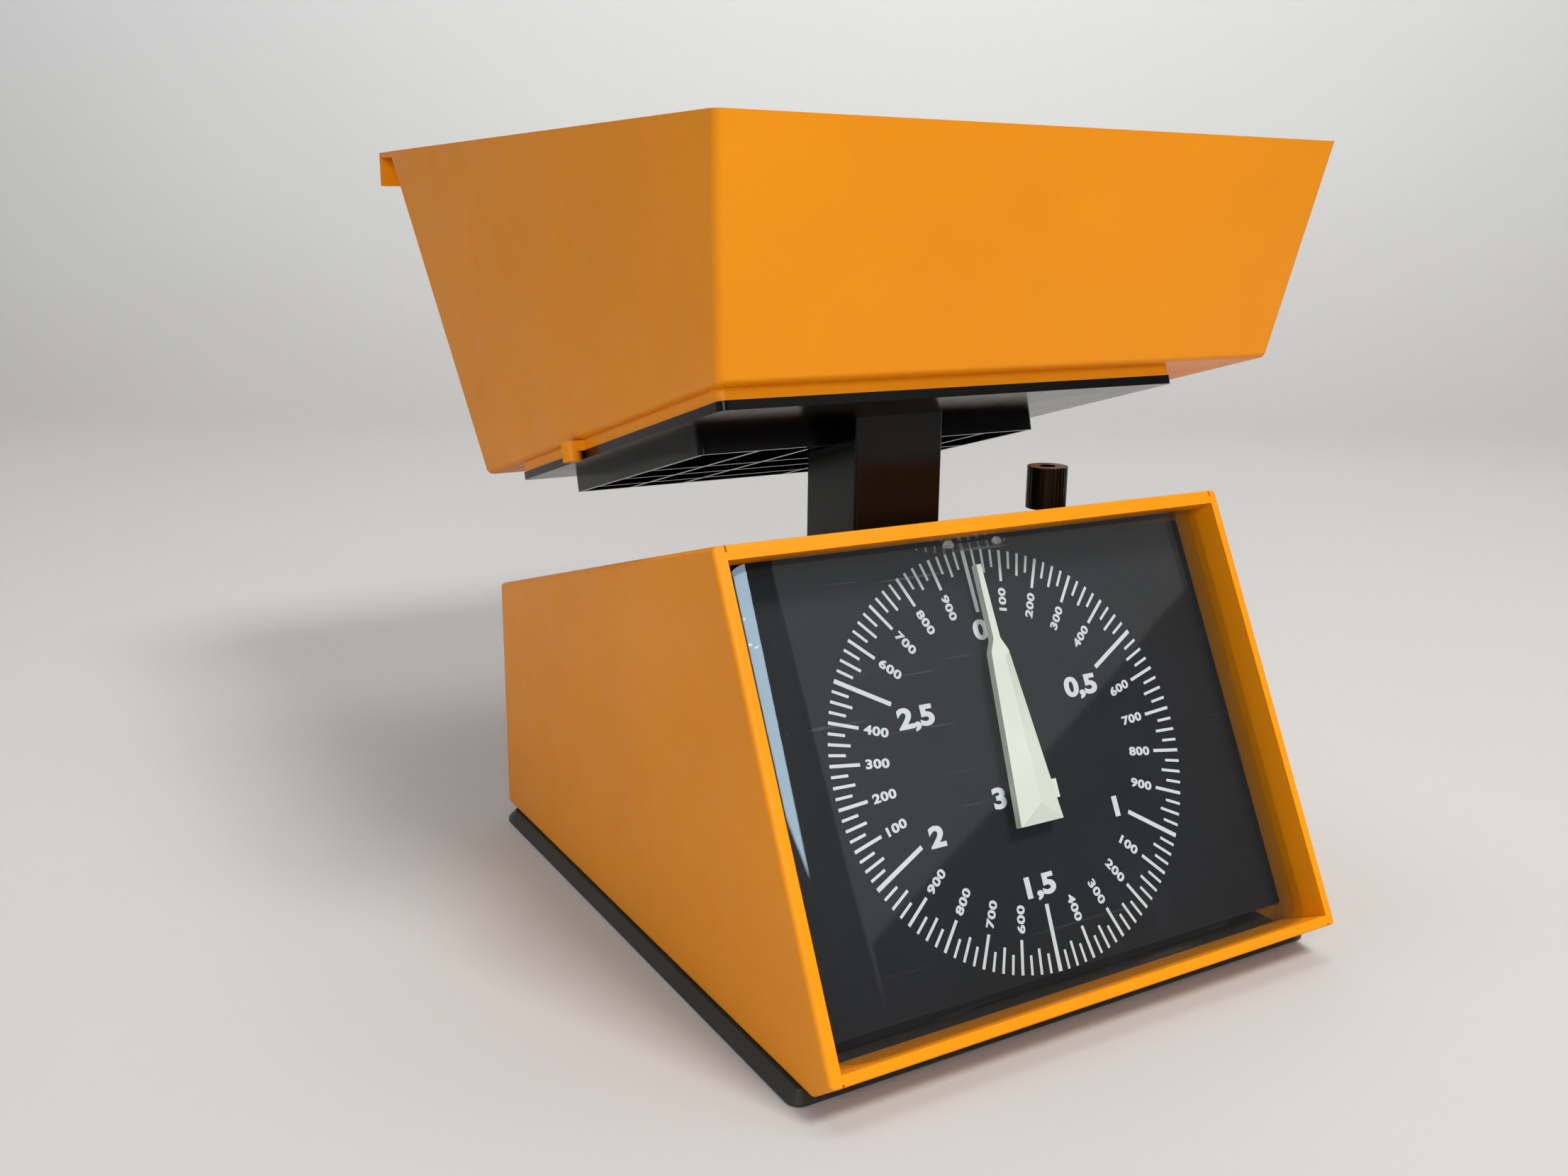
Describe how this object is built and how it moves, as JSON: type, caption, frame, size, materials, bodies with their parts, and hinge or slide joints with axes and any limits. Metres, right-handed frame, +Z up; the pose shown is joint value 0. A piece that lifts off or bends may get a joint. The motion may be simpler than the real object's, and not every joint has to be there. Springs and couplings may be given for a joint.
{
  "type": "kitchen scale",
  "caption": "Mechanical kitchen scale with a sloping dial under a clear window, square column, platform tray and large lift-off bowl.",
  "frame": {"origin": "centre of the base's rest face, under the housing", "axes": "+Z up, +X to the right of someone facing the dial, the dial looks toward -Y"},
  "size_m": [0.1959, 0.3164, 0.2143],
  "materials": {
    "orange_plastic": "glossy",
    "black_plastic": "satin",
    "dial_black": "matt",
    "clear": "clear moulded",
    "cream_plastic": "satin",
    "white_plastic": "satin",
    "steel": "zinc plated",
    "spring_steel": "bright",
    "brass": "turned",
    "rubber": "matt"
  },
  "bodies": {
    "base": {"base_tray": "black_plastic", "foot_front_left": "rubber", "foot_front_right": "rubber", "foot_back_left": "rubber", "foot_back_right": "rubber", "base_screw_front_left": "steel", "base_screw_front_right": "steel", "base_screw_back_left": "steel", "base_screw_back_right": "steel", "housing_shell": "orange_plastic", "window": "clear", "dial_plate": "dial_black", "movement_bracket": "steel", "front_bush": "brass", "rear_bush": "brass", "steel_frame": "steel", "upper_rear_pin": "steel", "lower_rear_pin": "steel", "guide_post": "steel"},
    "platform": {"platform_plate": "black_plastic", "platform_tray": "orange_plastic", "rib_frame": "black_plastic", "column": "black_plastic", "column_screw_left": "steel", "column_screw_right": "steel", "rack": "white_plastic", "rack_arm": "steel", "upper_front_pin": "steel", "lower_front_pin": "steel"},
    "bowl": {"bowl": "orange_plastic"},
    "pointer": {"pointer": "cream_plastic", "pointer_shaft": "steel", "pinion": "brass"},
    "upper_lever": {"upper_lever": "steel"},
    "lower_lever": {"lower_lever": "steel"},
    "anchor": {"anchor_yoke": "steel", "spindle_nut": "brass", "left_spring": "spring_steel", "right_spring": "spring_steel"},
    "zero": {"zero_knob": "black_plastic", "zero_spindle": "steel"}
  },
  "joints": [
    {"name": "platform_slide", "type": "slide", "parent": "base", "child": "platform", "axis": [0, 0, -1], "range_m": [0, 0.01548], "stiffness_N_per_m": 1900, "springref_m": -0.0045, "deforming": ["left_spring", "right_spring"]},
    {"name": "bowl_lift", "type": "slide", "parent": "platform", "child": "bowl", "axis": [0, 0, 1], "range_m": [0, 0.12]},
    {"name": "pointer_turn", "type": "hinge", "parent": "base", "child": "pointer", "pos_m": [0, -0.02942, 0.04092], "axis": [0, 0.8929, -0.4503], "range_deg": [0, 360]},
    {"name": "upper_lever_swing", "type": "hinge", "parent": "base", "child": "upper_lever", "pos_m": [0, 0.063, 0.07426], "axis": [1, 0, 0], "range_deg": [0, 14.8]},
    {"name": "lower_lever_swing", "type": "hinge", "parent": "base", "child": "lower_lever", "pos_m": [0, 0.063, 0.02826], "axis": [1, 0, 0], "range_deg": [0, 14.8]},
    {"name": "zero_turn", "type": "hinge", "parent": "base", "child": "zero", "pos_m": [0.0559, -0.0068, 0.1], "axis": [0, 0, 1], "range_deg": [-905, 905]},
    {"name": "anchor_slide", "type": "slide", "parent": "base", "child": "anchor", "axis": [0, 0, 1], "range_m": [-0.00175, 0.00175]}
  ],
  "couplings": [
    {"joint": "pointer_turn", "follows": "platform_slide", "rad_per_m": 405.86},
    {"joint": "upper_lever_swing", "follows": "platform_slide", "rad_per_m": 16.63},
    {"joint": "lower_lever_swing", "follows": "platform_slide", "rad_per_m": 16.63},
    {"joint": "zero_turn", "follows": "anchor_slide", "rad_per_m": 8976}
  ]
}
